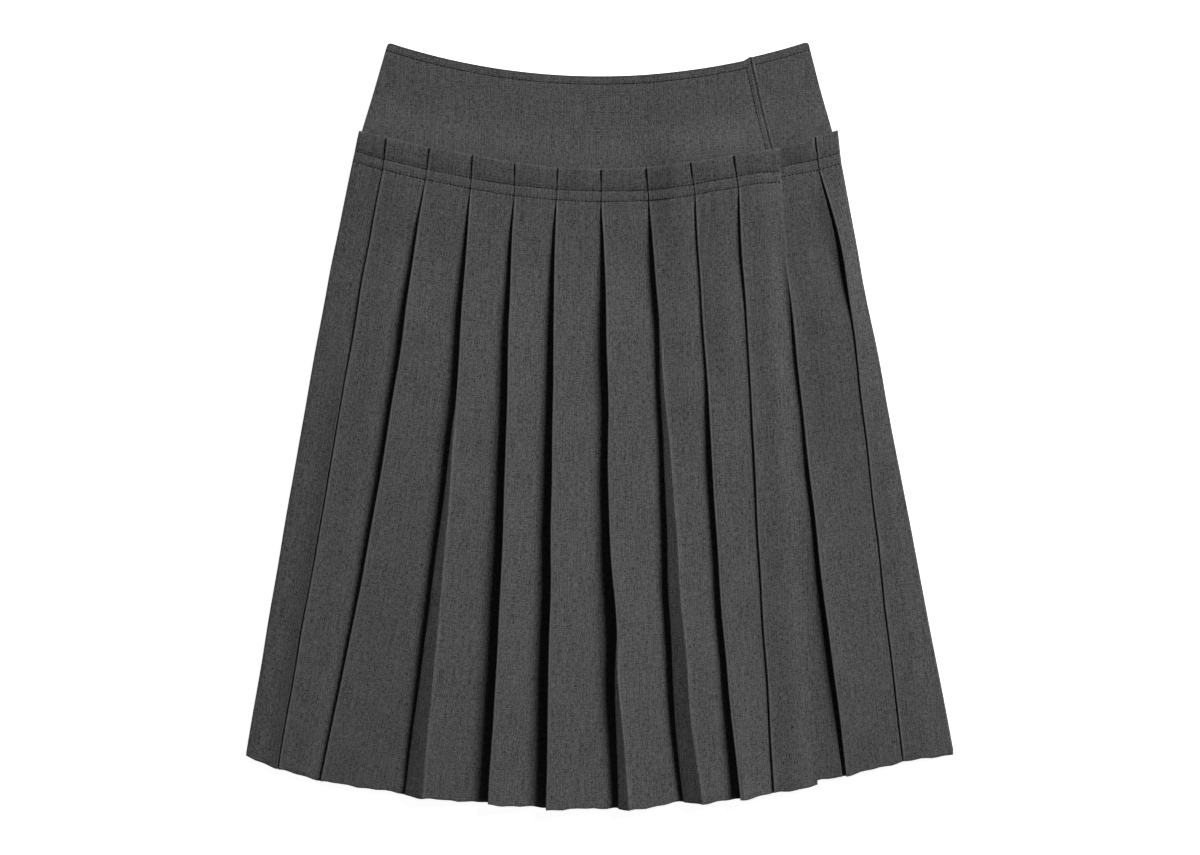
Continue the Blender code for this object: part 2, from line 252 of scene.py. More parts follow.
# Height of each edge over its flat lie, and how far its line sways aside, at shares of the way down
liftShares = (0.0, 0.05, 0.10, 0.15, 0.20, 0.30, 0.40, 0.50, 0.60, 0.70, 0.80, 0.90, 1.0)
lifts = {
    "c1": (0, 0, 0, 0, 0.1, 0.4, 0.8, 1.0, 1.3, 1.6, 2.8, 1.2, 1.0),
    "c2": (0, 0.8, 2.6, 4.6, 6.2, 5.8, 5.5, 5.2, 4.6, 3.0, 2.2, 1.2, 0.2),
    "c3": (0, 1.6, 3.7, 5.2, 6.2, 7.2, 8.0, 8.4, 9.0, 9.6, 9.8, 8.9, 8.2),
    "c4": (0, 1.6, 3.0, 4.8, 6.0, 8.2, 9.2, 10.2, 11.6, 12.4, 12.6, 12.4, 11.6),
    "c5": (0, 1.8, 3.4, 4.4, 5.8, 7.6, 9.2, 11.0, 11.8, 12.4, 13.0, 13.2, 12.6),
    "c6": (0, 1.6, 3.6, 5.2, 7.6, 7.9, 8.0, 8.8, 11.0, 13.6, 12.4, 10.6, 9.6),
    "c7": (0, 1.6, 4.2, 4.6, 4.0, 3.8, 5.0, 7.6, 9.2, 10.0, 9.8, 8.6, 7.4),
    "c8": (0, 0.4, 0, -0.3, -0.2, 0.2, 4.6, 4.6, 4.4, 5.4, 5.6, 6.8, 9.6),
    "c9": (0, 0.8, 1.2, 0.6, 0.2, 0.4, 1.4, 1.4, 0.4, 0, 0, 0.4, 0.4),
    "u2": (0, 0, 0, 0, 0.3, 1.4, 0.3, 2.8, 5.0, 6.4, 6.6, 5.4, 1.0),
    "u3": (0, 1.8, 3.8, 4.4, 4.4, 3.4, 1.8, 0.6, 0.4, 1.2, 1.0, 0.6, -0.2),
}
# How far the cloth left of an edge curls up toward it, in the header and below the stitches
curls = {"c1": (0.5, 0), "c2": (1.2, 0), "c4": (0.7, 0), "c5": (1.0, 0), "c8": (0.5, 0), "u3": (1.6, 3.4)}
# Cloth that rises toward an edge further down: from which share, how far, over what width and how hollow
eases = table(
    "name start rise width hollow",
    (
        ("c1", 0.25, 2.6, 16, 2),
        ("c9", 0.10, 0.8, 42, 1),
        ("u2", 0.45, 2.8, 24, 1),
        ("u3", 0.13, 1.8, 42, 1),
    ),
)
# Folds that close up: the share down the cloth where they start to, and how much of their gap stays
closing = {"c1": (0.02, 0.3), "c9": (0.1, 0.35), "u1": (0.1, 0.35), "u3": (0.13, 0.2)}
swayShares = (0.0, 0.10, 0.30, 0.50, 0.70, 0.90, 1.0)
sways = {
    "c1": (0, -1.2, -0.6, -0.6, 0, -0.6, 0),
    "c2": (0, -1.2, 0, 0.8, 0.4, 0, 0),
    "c3": (0, 0, -0.4, 0.6, -0.6, -1.2, 0),
    "c4": (0, -1.6, -0.2, 0.8, 0.9, 0, 0),
    "c5": (0, -1.0, 0, 0.9, 0.9, -0.5, 0),
    "c6": (0, 1.8, 2.0, -1.6, 1.6, 2.4, 0.9),
    "c7": (0, 0, 0.4, 1.2, -0.8, -0.8, 0),
    "c8": (0, 0, 1.8, 1.2, 0.8, 0, 0),
    "c9": (0, -0.8, 0.6, -0.9, -0.9, 0.4, 0),
    "u2": (0, 0, 1.8, 1.8, 0.9, 0.9, 0),
    "u3": (0, 0, -1.6, -2.6, -2.6, -0.9, 0),
}

pleats = {
    "faceCurve": 1.1,
    "headerFaceCurve": 0.45,
    "footDrops": (-27.5, -18.0, -13.5, 1.0, 10.0, 80.0),
    "footGaps": (1.2, 1.0, 0.2, 0.2, 1.4, 3.0),
    "footRises": (0.4, 0.6, 0.9, 1.15, 0.2, 0.0),
    "closingSpan": 0.14,
    "curlWidth": 14.0,
    "pocketGap": 1.5,
    "edgeFlat": 1.5,
    "stripPower": 0.8,
    "stripLift": 1.3,
    "headerFlare": 2.1,
    "leanXs": (162.0, 170.0, 190.0, 193.0, 200.0),
    "leans": (0.0, 2.0, 3.0, 0.5, -1.1),
    "topRoll": 0.6,
    "hemRoll": 0.5,
    "riseXs": (-216, -191, -152, -114, -76, -37, 2, 42, 81, 120, 150, 160, 179, 193, 215),
    "rises": (0.8, 3.1, 3.9, 4.8, 2.8, 1.2, 1.0, 1.2, 1.8, 2.6, 1.2, 0.6, 0.2, 2.3, 2.3),
    "sideRoll": 1.5,
    "stitchTrough": 0.45,
    "troughWidth": 1.4,
    "edgeRim": 0.35,
    "lieGap": 0.15,
    # painted highlight beside each folded edge: how far from the edge, how wide, and how much of it the
    # header gets
    "highlightX": 0.9,
    "highlightWidth": 1.1,
    "headerHighlight": 0.4,
    "clothPitch": 120.0,  # cloth from one folded edge to the next
    "backPleats": 11,
    "backPitchAngle": 3.17,
    "backHemRise": 2.5,
    "levelDrops": (-27.5, -9.5, 0.0, 30.0, 120.0, 545.0),
    "levelSteps": (1.25, 0.95, 0.95, 1.10, 1.40, 1.50),
}
# The hidden back sways as the front does, in another order
for number in range(pleats["backPleats"]):
    sways[f"b{number + 1}"] = sways[frontFolds[4 * number % len(frontFolds)]["name"]]


def bowShape(share, peak):
    if share < peak:
        return math.sin(0.5 * math.pi * share / peak)
    return math.cos(0.5 * math.pi * (share - peak) / (1.0 - peak))


# Value of a short table at a share, with its corners rounded off
def softly(shares, values, share):
    near = [min(max(share + offset, 0.0), 1.0) for offset in (-0.04, -0.02, 0.0, 0.02, 0.04)]
    return float(np.mean(np.interp(near, shares, values)))


def lineX(line, drop):
    if drop <= 0.0:
        return blend(line["stitchX"], line["topX"], drop / garment["headerTop"])
    share = drop / garment["skirtDrop"]
    x = blend(line["stitchX"], line["hemX"], share) + line["bow"] * bowShape(share, line["bowAt"])
    if line["name"] in sways:
        x += softly(swayShares, sways[line["name"]], share) * smooth(drop / 30.0)
    return x


def lineY(line, drop, hemY=None):
    if drop <= 0.0:
        return ringY(lineX(line, drop), garment["stitchRadius"] + drop)
    stitchY = ringY(line["stitchX"], garment["stitchRadius"])
    return blend(stitchY, line["hemY"] if hemY is None else hemY, drop / garment["skirtDrop"])


def stripWidth(fold, drop):
    share = max(drop, 0.0) / garment["skirtDrop"]
    if share <= fold["opens"]:
        return 0.0
    opened = (share - fold["opens"]) / (1.0 - fold["opens"])
    return fold["strip"] * opened ** pleats["stripPower"]


# Where the cloth at a drop lies along y, between the lines down the panel
def rowY(panel, xs, drop):
    if drop <= 0.0:
        return np.array([ringY(x, garment["stitchRadius"] + drop) for x in xs])
    known = [(lineX(panel["start"], drop), lineY(panel["start"], drop))]
    for fold in panel["folds"]:
        strip = stripWidth(fold, drop)
        if strip > 0.5:
            known.append((lineX(fold, drop) - strip, lineY(fold, drop, fold["valleyY"])))
        known.append((lineX(fold, drop), lineY(fold, drop)))
    known.append((lineX(panel["end"], drop), lineY(panel["end"], drop)))
    return np.interp(xs, [x for x, y in known], [y for x, y in known])


# Heights of the layers. The bases are those of whole panels over the surface that the skirt lies on.


# 0 where nothing lies under the wrap, 1 where the under-panel does
def wrapShare(x, drop):
    rampEnd = lineX(hiddenEdge, drop) - garment["hiddenRampEnd"]
    return smooth((x - rampEnd + garment["hiddenRamp"]) / garment["hiddenRamp"])


def yokeShare(drop):
    return min(max((garment["settled"] - drop) / (garment["settled"] - garment["belowYoke"]), 0.0), 1.0)


def underBase(x, drop):
    return garment["stackStep"] + 2.0 * garment["layerStep"] * yokeShare(drop)


def frontBase(x, drop):
    rise = garment["stackStep"] + garment["layerStep"] * yokeShare(drop)
    return underBase(x, drop) + rise * wrapShare(x, drop)


def backBase(x, drop):
    return 0.0


def levelStep(drop):
    return float(np.interp(drop, pleats["levelDrops"], pleats["levelSteps"]))


def levelHeight(level, drop):
    return 0.5 + level * levelStep(drop)


# The back is worked out face up and then turned over, so that its heights count down from here
def backFlip(drop):
    return levelHeight(2, drop) + 0.5 * garment["pleatWall"]


def rightLevel(drop):
    return 2.0 * (1.0 - max(drop, 0.0) / garment["skirtDrop"])


def seamHeight(side, drop):
    level = rightLevel(drop) if side == "rightSide" else 0.0
    return 0.5 * (underBase(0.0, drop) + levelHeight(level, drop) + 0.5 * garment["pleatWall"])


# 0 at the row of stitches, 1 at the header's free top
def freeShare(drop, rowDrop=garment["upperStitch"]):
    return min(max(rowDrop - drop, 0.0) / (rowDrop - garment["headerTop"]), 1.0)


def closedShare(drop, start):
    return smooth((drop / garment["skirtDrop"] - start) / pleats["closingSpan"])


def liftHeight(fold, drop):
    if drop <= 0.0:
        return fold["headerLift"] * freeShare(drop) ** 1.2
    if fold["name"] not in lifts:
        return 0.0
    return softly(liftShares, lifts[fold["name"]], drop / garment["skirtDrop"]) * smooth(drop / 25.0)


def curlHeight(fold, drop):
    header, upper = curls.get(fold["name"], (0.0, 0.0))
    if drop <= 0.0:
        return header * freeShare(drop)
    share = drop / garment["skirtDrop"]
    return upper * smooth(share / 0.06) * (1.0 - smooth((share - 0.09) / 0.10))


# How the cloth left of a fold stands over its flat lie: the stitches hug it up, some of it curls toward the
# edge, and further down some of it rises more widely. Where a fold has closed up, it rises with its edge.
flatRise = {"curl": 0.0, "ease": 0.0, "width": 1.0, "hollow": 1}


def riseBeside(fold, drop):
    hug = float(np.interp(drop, pleats["footDrops"], pleats["footRises"]))
    rise = dict(flatRise, curl=hug + curlHeight(fold, drop))
    for ease in eases:
        if ease["name"] == fold["name"]:
            stays = closing.get(fold["name"], (0.0, 1.0))[1]
            height = ease["rise"] + (1.0 - stays) * max(liftHeight(fold, drop), 0.0)
            rise.update(ease, ease=closedShare(drop, ease["start"]) * height)
    return rise


def risen(x, foot, rise):
    away = foot[0] - x
    curl = rise["curl"] * max(1.0 - away / pleats["curlWidth"], 0.0) ** 1.5
    return curl + rise["ease"] * max(1.0 - away / rise["width"], 0.0) ** rise["hollow"]


# Sections across a pleated panel. A fold is drawn like a belt round two pulleys: its folded edge and
# the inner fold behind it.


def turn(centre, radius, start, end, steps, side):
    headings = [blend(start, end, i / steps) for i in range(steps + 1)]
    return [
        (centre[0] - side * radius * math.sin(a), centre[1] + side * radius * math.cos(a)) for a in headings
    ]


def between(first, last, shares):
    return [(blend(first[0], last[0], s), blend(first[1], last[1], s)) for s in shares]


def sideRoll(x, seam, level, steps=4):
    roll = pleats["sideRoll"]
    wallX = x + 0.5 * garment["pleatWall"]
    points = [(wallX, seam + 0.1)]
    for i in range(steps + 1):
        angle = 0.5 * math.pi * i / steps
        points.append((wallX + roll * (1.0 - math.cos(angle)), level + roll * (math.sin(angle) - 1.0)))
    return points


def mirroredX(points):
    return [(-x, z) for x, z in reversed(points)]


def sectionEnds(panel, drop, endZ):
    startX, endX = lineX(panel["start"], drop), lineX(panel["end"], drop)
    base = panel["base"](0.0, drop)
    if panel["mirrored"]:
        seams = [backFlip(drop) - seamHeight(line["name"], drop) for line in (panel["start"], panel["end"])]
        top = levelHeight(2, drop)
        return sideRoll(startX, seams[0], top), mirroredX(sideRoll(-endX, seams[1], top))
    start = [(startX, levelHeight(0, drop))]
    end = [(endX, levelHeight(0, drop) if endZ is None else endZ)]
    if panel["start"]["name"] == "leftSide":
        start = sideRoll(startX, seamHeight("leftSide", drop) - base, levelHeight(0, drop))
    if panel["end"]["name"] == "rightSide":
        seam = seamHeight("rightSide", drop) - base
        end = mirroredX(sideRoll(-endX, seam, levelHeight(rightLevel(drop), drop)))
    return start, end


def foldShape(fold, drop):
    radius = 0.5 * levelStep(drop)
    reach = radius + 0.5 * garment["pleatWall"]
    share = max(drop, 0.0) / garment["skirtDrop"]
    strip = stripWidth(fold, drop)
    lift = liftHeight(fold, drop)
    edgeLift = max(lift - fold["slope"] * strip, min(lift, pleats["stripLift"]))
    x = lineX(fold, drop) - strip
    depth = blend(fold["stitchPocket"], fold["pocket"], share)
    return {
        "radius": radius,
        "reach": reach,
        "x": x,
        "edge": (x + reach, levelHeight(1, drop) + radius + edgeLift),
        "inner": (x + depth - reach, levelHeight(0, drop) + radius),
        "ridge": (
            max(lineX(fold, drop), x + reach + pleats["edgeFlat"]),
            levelHeight(2, drop) + lift,
        ),
    }


# Where the cloth left of a fold goes in under its edge
def footPoint(fold, shape, drop):
    start, stays = closing.get(fold["name"], (0.0, 1.0))
    gap = float(np.interp(drop, pleats["footDrops"], pleats["footGaps"]))
    return (shape["x"] - gap * blend(1.0, stays, closedShare(drop, start)), levelHeight(0, drop))


# The face of a pleat, from its ridge to the next fold: it falls from the ridge, and is held up by the cloth
# folded behind it.
def facePoints(shape, foot, drop, steps, rise):
    ridge = shape["ridge"]
    cover = levelHeight(2, drop)
    curve = blend(pleats["headerFaceCurve"], pleats["faceCurve"], smooth(drop / 100.0))
    coverEnd = shape["inner"][0] + shape["reach"] + pleats["pocketGap"]
    points = []
    for i in range(1, steps):
        share = 0.5 - 0.5 * math.cos(math.pi * i / steps)
        x = blend(ridge[0], foot[0], share)
        fall = foot[1] + (ridge[1] - foot[1]) * (1.0 - share) ** curve
        held = foot[1] + (cover - foot[1]) * (1.0 - smooth((x - coverEnd) / max(foot[0] - coverEnd, 1.0)))
        soft = 2.0 * share * (1.0 - share)
        z = 0.5 * (fall + held + math.sqrt((fall - held) ** 2 + soft * soft))
        points.append((x, z + risen(x, foot, rise)))
    return points


def section(panel, drop, endZ=None):
    arcs, faces = panel["arcSteps"], panel["faceSteps"]
    start, end = sectionEnds(panel, drop, endZ)
    shapes = [foldShape(fold, drop) for fold in panel["folds"]]
    feet = [footPoint(fold, shape, drop) for fold, shape in zip(panel["folds"], shapes)] + [end[0]]
    rises = [riseBeside(fold, drop) for fold in panel["folds"]] + [flatRise]
    points = list(start)
    for x, z in between(start[-1], feet[0], (0.25, 0.45, 0.6, 0.75, 0.88, 0.97)):
        points.append((x, z + risen(x, feet[0], rises[0])))
    edges = []
    for i, shape in enumerate(shapes):
        foot, radius = feet[i], shape["radius"]
        inner, edge, ridge = shape["inner"], shape["edge"], shape["ridge"]
        dx, dz = inner[0] - foot[0], inner[1] - foot[1]
        entry = math.atan2(dz, dx) - math.asin(radius / math.hypot(dx, dz))
        dx, dz = edge[0] - inner[0], edge[1] - inner[1]
        across = math.atan2(dz, dx) + math.asin(min(2.0 * radius / math.hypot(dx, dz), 1.0))
        leave = math.atan2(ridge[1] - edge[1] - radius, ridge[0] - edge[0])
        innerArc = turn(inner, radius, entry, across, arcs, -1)
        edgeArc = turn(edge, radius, across, leave, arcs, 1)
        points.append(foot)
        points += between(foot, innerArc[0], (0.5,))
        points += innerArc
        points += between(innerArc[-1], edgeArc[0], (0.33, 0.67))
        edges.append((len(points) - 4 - arcs // 2, len(points) + arcs // 2))
        points += edgeArc
        points += between(edgeArc[-1], ridge, (0.35, 0.75, 0.93))
        points.append(ridge)
        points += facePoints(shape, feet[i + 1], drop, faces, rises[i + 1])
    return points + end, edges


# The highest z of a cut at each x, for what lies on it
def upperEnvelope(cut, xs):
    cut = np.asarray(cut)
    x0, z0, x1, z1 = cut[:-1, 0], cut[:-1, 1], cut[1:, 0], cut[1:, 1]
    heights = np.full(len(xs), -np.inf)
    for i, x in enumerate(xs):
        crosses = (np.minimum(x0, x1) <= x) & (np.maximum(x0, x1) >= x) & (np.abs(x1 - x0) > 1e-6)
        if crosses.any():
            share = (x - x0[crosses]) / (x1[crosses] - x0[crosses])
            heights[i] = np.max(z0[crosses] + (z1[crosses] - z0[crosses]) * share)
    return heights


# What lies over the cut bridges its steps like stiff cloth
def softFloor(cut, xs):
    spread = np.arange(-4.5, 4.6, 0.5)
    grid = np.arange(min(xs) - 8.0, max(xs) + 8.0, 0.5)
    heights = upperEnvelope(cut, grid)
    covered = np.isfinite(heights)
    heights = np.interp(grid, grid[covered], heights[covered])
    highest = np.array([heights[max(i - 5, 0) : i + 6].max() for i in range(len(grid))])
    weights = np.exp(-((spread / 2.2) ** 2))
    padded = np.pad(highest, len(spread) // 2, mode="edge")
    soft = np.convolve(padded, weights / weights.sum(), mode="valid")
    return np.interp(xs, grid, soft)


# Soft unevenness of cloth that has been worn and laid down by hand: a few long waves, the same for
# every layer at one place, so that no layer meets the next.
unevenness = {"seed": 7, "waves": 9, "shortest": 45.0, "longest": 170.0, "height": 0.28, "sideways": 0.35}


def longWaves(seedShift):
    rng = np.random.default_rng(unevenness["seed"] + seedShift)
    count = unevenness["waves"]
    heading = rng.uniform(0.0, math.pi, count)
    wave = 2.0 * math.pi / rng.uniform(unevenness["shortest"], unevenness["longest"], count)
    phase = rng.uniform(0.0, 2.0 * math.pi, count)

    def at(x, y):
        total = np.zeros_like(x)
        for h, k, p in zip(heading, wave, phase):
            total += np.sin(k * (x * math.cos(h) + y * math.sin(h)) + p)
        return total / math.sqrt(count)

    return at


liftWaves, shiftWaves = longWaves(0), longWaves(1)
ringTop = ringY(0.0, garment["stitchRadius"])


def uneven(points):
    x, y, z = points[..., 0], points[..., 1], points[..., 2]
    free = np.clip(z / 4.0, 0.0, 1.0)
    below = np.clip((ringTop - y) / 60.0, 0.0, 1.0)
    moved = points.copy()
    moved[..., 2] += unevenness["height"] * liftWaves(x, y) * free
    moved[..., 0] += unevenness["sideways"] * shiftWaves(x, y) * free * below
    return moved


def trough(distance):
    return -pleats["stitchTrough"] * hump(distance, pleats["troughWidth"])


# The rows of stitches were sewn by hand and eye: they wander above and below an even ring
wanderXs = (-220, -205, -174, -135, -96, -58, -18, 22, 62, 84)
wanderXs += (102, 139, 150, 161, 163, 176, 186, 194, 208, 215)
wanderDrops = (
    *(-1.0, -1.2, -1.8, -2.2, -1.3, -0.4, 0.3, 0.8, 0.8, 0.0),
    *(-1.2, -1.4, -0.2, 1.3, -2.7, -2.3, -1.2, -0.8, -0.4, -0.6),
)


def rowShift(x):
    return float(np.interp(x, wanderXs, wanderDrops))


# Drops of the rows down a pleated panel, close together at the header's top, the stitches and the hem
def panelDrops(spacing):
    stitches = list(np.arange(-14.5, 3.0, 1.1)) + [4.0, 6.0]
    header = [-27.5, -27.15, -26.7, -26.1, -25.4, -24.4, -22.5, -20.0, -18.0, -16.0]
    below = list(np.arange(9.0, 60.0, 0.6 * spacing))
    count = round((garment["skirtDrop"] - 60.0) / spacing)
    hem = garment["skirtDrop"]
    return header + stitches + below + list(np.linspace(60.0, hem - 3.0, count)) + [hem - 1.6, hem - 0.7, hem]


# The free part of the header leans up off the yoke, steepest beside its stitches
def flare(x, drop, rowDrop):
    raised = freeShare(drop, rowDrop)
    roll = pleats["topRoll"] * hump(drop - garment["headerTop"], 1.0)
    lean = float(np.interp(x, pleats["leanXs"], pleats["leans"]))
    return pleats["headerFlare"] * (1.0 - (1.0 - raised) ** 1.7) + lean * raised - roll


# The header was trimmed by eye, so it stands taller in some places than in others
def headerRise(x, drop):
    return freeShare(drop) * float(np.interp(x, pleats["riseXs"], pleats["rises"]))


# A hem that was pressed by hand isn't quite straight
def hemWave(x, drop):
    near = smooth((drop - garment["skirtDrop"] + 45.0) / 45.0)
    return near * (0.5 * math.sin(0.145 * x + 1.1) + 0.4 * math.sin(0.34 * x + 0.4))


# The cut with its stitched troughs and rolled edges, at its height over the floor
def placedCut(panel, cut, drop):
    placed = []
    for x, z in cut:
        shifted = 0.0 if panel["mirrored"] else rowShift(x)
        sunk = trough(drop - shifted) + trough(drop - shifted - garment["upperStitch"])
        z += sunk * smooth(z + garment["pleatWall"])
        if panel["mirrored"]:
            z = min(z, levelHeight(2, drop))
        else:
            z += flare(x, drop, garment["upperStitch"] + shifted)
            z -= pleats["hemRoll"] * hump(garment["skirtDrop"] - drop, 1.0)
        placed.append((x, z + panel["base"](x, drop)))
    return placed


# Height at which a panel lies on the cut of the one under it
def lyingHeight(underCut, xs):
    return softFloor(underCut, xs) + garment["pleatWall"] + pleats["lieGap"]


# Cloth coordinate across a row, which starts anew at each folded edge, and the painted highlight beside those
# edges
def acrossRow(panel, row, edges, drop):
    lengths = np.concatenate([[0.0], np.cumsum(np.hypot(np.diff(row[:, 0]), np.diff(row[:, 2])))])
    across = lengths.copy()
    highlight = np.zeros(len(row))
    for number, (innerColumn, edgeColumn) in enumerate(edges):
        fold = panel["folds"][number]
        restart = pleats["clothPitch"] * (number + 1) - lengths[edgeColumn]
        across[innerColumn:] = lengths[innerColumn:] + restart
        beside = row[edgeColumn:, 0] - lineX(fold, drop) - pleats["highlightX"]
        weight = 1.0 - 0.5 * min(stripWidth(fold, drop) / 8.0, 1.0)
        highlight[edgeColumn:] += weight * np.exp(-((beside / pleats["highlightWidth"]) ** 2))
    return across, highlight * (1.0 if drop > 2.0 else pleats["headerHighlight"])


# Rows of points, their cloth coordinates, the cuts they come from and the painted highlight along their
# folded edges. A panel that wraps over another is held up by it from its last fold on.
def pleatedRows(panel, underCuts=None):
    rows, cloth, cuts, edgeHighlight = [], [], [], []
    for index, drop in enumerate(panel["drops"]):
        endZ = None
        if underCuts is not None:
            endX = lineX(panel["end"], drop)
            endZ = lyingHeight(underCuts[index], [endX - 2.5])[0] - panel["base"](endX, drop)
        cut, edges = section(panel, drop, endZ)
        placed = placedCut(panel, cut, drop)
        if underCuts is not None:
            last = edges[-1][1]
            floor = lyingHeight(underCuts[index], [x for x, z in placed[last:]])
            placed[last:] = [(x, max(z, f)) for (x, z), f in zip(placed[last:], floor)]
            rim = pleats["edgeRim"] * (1.0 - smooth((drop + 2.0) / 8.0))
            placed[-1] = (placed[-1][0], placed[-1][1] - rim)
        ys = rowY(panel, [x for x, z in cut], drop)
        if not panel["mirrored"]:
            ys = [y + headerRise(x, drop) - hemWave(x, drop) for (x, z), y in zip(cut, ys)]
        row = np.array([(x, y, z) for (x, z), y in zip(placed, ys)])
        across, highlight = acrossRow(panel, row, edges, drop)
        if panel["mirrored"]:
            row[:, 0] = -row[:, 0]
            row[:, 2] = backFlip(drop) - row[:, 2]
        rows.append(row)
        cloth.append(np.column_stack([across, np.full(len(row), -drop)]))
        cuts.append(placed)
        edgeHighlight.append(highlight)
    return uneven(np.array(rows)), np.array(cloth), cuts, np.array(edgeHighlight)


# Objects

suiting = worstedWoolMelange()
thread = spunPolyesterThread()


# The piece's modifiers made real, under its own name
def finishMesh(piece):
    rough = piece.data
    evaluated = piece.evaluated_get(bpy.context.evaluated_depsgraph_get())
    finished = bpy.data.meshes.new_from_object(evaluated)
    piece.modifiers.clear()
    piece.data = finished
    bpy.data.meshes.remove(rough)
    finished.name = piece.name
    finished.shade_smooth()
    return finished


def clothPiece(name, points, cloth, wall, edgeHighlight=None):
    rows, columns = points.shape[:2]
    faces = [
        (r * columns + c, (r + 1) * columns + c, (r + 1) * columns + c + 1, r * columns + c + 1)
        for r in range(rows - 1)
        for c in range(columns - 1)
    ]
    mesh = bpy.data.meshes.new(name)
    mesh.from_pydata((points.reshape(-1, 3) * mm).tolist(), [], faces)
    layer = mesh.uv_layers.new(name="cloth")
    order = np.zeros(len(mesh.loops), dtype=np.int32)
    mesh.loops.foreach_get("vertex_index", order)
    layer.data.foreach_set("uv", (cloth.reshape(-1, 2) * mm)[order].ravel())
    # the painted highlight along the folded edges goes to the material as a point attribute
    if edgeHighlight is not None:
        mesh.attributes.new("edgeHighlight", "FLOAT", "POINT").data.foreach_set("value", edgeHighlight.ravel())
    mesh.materials.append(suiting)
    piece = newObject(name, mesh)
    solid = piece.modifiers.new("wall", "SOLIDIFY")
    solid.thickness = wall * mm
    solid.offset = 0.0
    solid.use_even_offset = True
    finishMesh(piece).set_sharp_from_angle(angle=math.radians(garment["sharpAngle"]))
    return piece


def declareCloth(piece, node):
    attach(piece, "root")
    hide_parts(node)


# Pleated panels


def mirroredLine(line):
    turned = dict(line)
    for column in ("topX", "stitchX", "hemX", "bow"):
        turned[column] = -line[column]
    turned["hemY"] = line["hemY"] + pleats["backHemRise"]
    return turned


def frontHemY(x):
    lines = (leftSide, *frontFolds, freeEdge, *underFolds[1:], rightSide)
    return float(np.interp(x, [line["hemX"] for line in lines], [line["hemY"] for line in lines]))


def backFolds(start, end):
    rows = []
    firstAngle = -0.5 * pleats["backPitchAngle"] * (pleats["backPleats"] - 1)
    for i in range(pleats["backPleats"]):
        stitchX = garment["stitchRadius"] * math.sin(math.radians(firstAngle + i * pleats["backPitchAngle"]))
        share = (stitchX - start["stitchX"]) / (end["stitchX"] - start["stitchX"])
        hemX = blend(start["hemX"], end["hemX"], share)
        hemY = frontHemY(-hemX) + pleats["backHemRise"]
        topX = blend(start["topX"], end["topX"], share)
        rows.append((f"b{i + 1}", topX, stitchX, hemX, hemY, 0.0, 0.5, 19, 19, 0, 1, 0, 0, 0))
    return table(foldColumns, rows)


def pleatedPiece(panel, underCuts=None):
    points, cloth, cuts, edgeHighlight = pleatedRows(panel, underCuts)
    return clothPiece(panel["name"], points, cloth, garment["pleatWall"], edgeHighlight), points, cuts


backStart, backEnd = mirroredLine(rightSide), mirroredLine(leftSide)
fineDrops, coarseDrops = panelDrops(9.0), panelDrops(16.0)
underPanel, frontPanel, backPanel = table(
    "name start end folds base drops arcSteps faceSteps mirrored",
    (
        ("pleatsUnder", hiddenEdge, rightSide, underFolds, underBase, fineDrops, 6, 13, False),
        ("pleatsFront", leftSide, freeEdge, frontFolds, frontBase, fineDrops, 6, 13, False),
        ("pleatsBack", backStart, backEnd, backFolds(backStart, backEnd), backBase, coarseDrops, 4, 8, True),
    ),
)
pleatsUnder, underPoints, underCuts = pleatedPiece(underPanel)
pleatsFront, frontPoints, frontCuts = pleatedPiece(frontPanel, underCuts)
pleatsBack, backPoints, backCuts = pleatedPiece(backPanel)
print("pleated panels made")

# Yokes

yokes = {
    "leftWaistX": -190.7,
    "rightWaistX": 187.2,
    "leftInset": 2.1,
    "rightInset": 4.0,
    "wrapAngle": 12.95,
    "hiddenAngle": 6.5,
    "wrapWaistX": 132.0,
    "wrapWaistStep": 1.8,
    "backWaistDrop": 1.5,
    "stepFade": 40.0,
    "tuck": 10.0,
    "tuckInset": 4.5,
    "tuckDrop": 1.2,
    "drape": 42.0,
    "tipRadius": 3.0,
    "wrapTip": 0.4,  # share of the tip's rounding that the wrap edge gets
    "topstitch": 7.0,
    "seamDepth": 0.6,
    "waistBead": 0.35,
    "edgeRidge": 0.20,
    "edgeBead": 0.50,
    "edgeStitch": 2.3,
    "edgeGroove": 0.45,
    "sideClose": 0.33,
    "sideCloseWidth": 1.6,
    "column": 6.0,
}
edgeOffsets = (0.0, 0.35, 0.8, 1.25, 1.7, 2.2, 2.8, 3.6, 4.8, 5.9, 7.0, 8.1, 9.5, 12.0, 16.0)
waistOffsets = (0.0, 0.4, 1.0, 1.9, 3.0, 4.2, 5.2, 6.1, 7.0, 7.9, 8.9, 10.5, 13.0, 16.0, 20.0)


def yokeRise(radius):
    headerTop = garment["stitchRadius"] + garment["headerTop"]
    return smooth((radius - headerTop + yokes["drape"]) / (yokes["drape"] - 2.0))


# Middle of a yoke's wall: layer 0 is the back, 1 the under-panel's and 2 the over-panel's
def yokeHeight(layer, x, radius):
    rise = yokeRise(radius)
    height = 0.5 * garment["yokeWall"] + garment["stackStep"] * rise
    if layer == 0:
        return height
    if layer == 1:
        return height + garment["layerStep"]
    wrap = wrapShare(x, radius - garment["stitchRadius"])
    return height + garment["layerStep"] + wrap * (garment["layerStep"] + garment["stackStep"] * rise)


def waistToHeader(radius):
    span = garment["stitchRadius"] + garment["headerTop"] - garment["waistRadius"]
    return min(max((radius - garment["waistRadius"]) / span, 0.0), 1.0)


def leftEdge(radius):
    drop = max(radius - garment["stitchRadius"], garment["headerTop"])
    return blend(yokes["leftWaistX"], lineX(leftSide, drop) + yokes["leftInset"], waistToHeader(radius))


def rightEdge(radius):
    drop = max(radius - garment["stitchRadius"], garment["headerTop"])
    return blend(yokes["rightWaistX"], lineX(rightSide, drop) - yokes["rightInset"], waistToHeader(radius))


